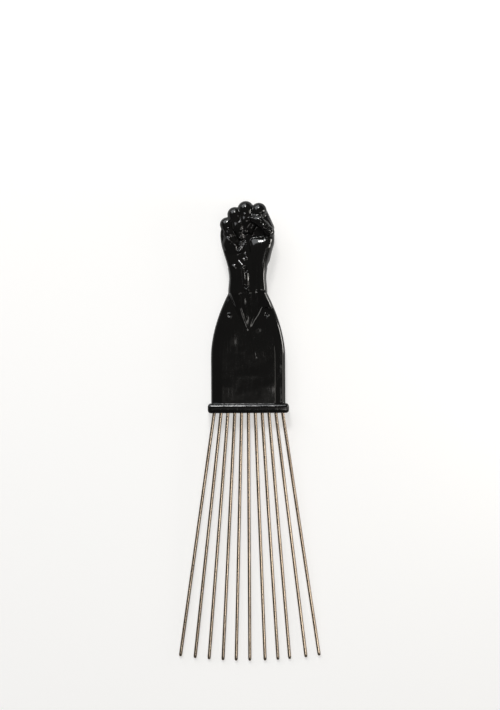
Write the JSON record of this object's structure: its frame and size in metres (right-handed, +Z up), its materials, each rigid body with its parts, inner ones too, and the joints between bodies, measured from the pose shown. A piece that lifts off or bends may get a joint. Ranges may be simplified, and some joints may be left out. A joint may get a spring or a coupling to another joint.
{
  "type": "afro pick",
  "caption": "Afro pick: a wide fan of round steel tines moulded into a gloss black plastic handle with a flat paddle, a forearm and a raised fist.",
  "frame": {"origin": "middle of the bounding box in X and Y, on the surface that the pick lies on", "axes": "+X across the pick to the right, +Y from the tine tips towards the fist, +Z up out of the palm side. The pick rests on its tine tips and on the knuckles at the back of the fist, so its own plane is tilted about 2 degrees about X"},
  "size_m": [0.074, 0.2394, 0.0182],
  "materials": {
    "handle_plastic": "glossy moulded black plastic",
    "tine_steel": "drawn and plated steel wire with a warm grey tone"
  },
  "bodies": {
    "root": {"handle": "handle_plastic", "tine_01": "tine_steel", "tine_02": "tine_steel", "tine_03": "tine_steel", "tine_04": "tine_steel", "tine_05": "tine_steel", "tine_06": "tine_steel", "tine_07": "tine_steel", "tine_08": "tine_steel", "tine_09": "tine_steel", "tine_10": "tine_steel", "tine_11": "tine_steel"}
  },
  "joints": []
}
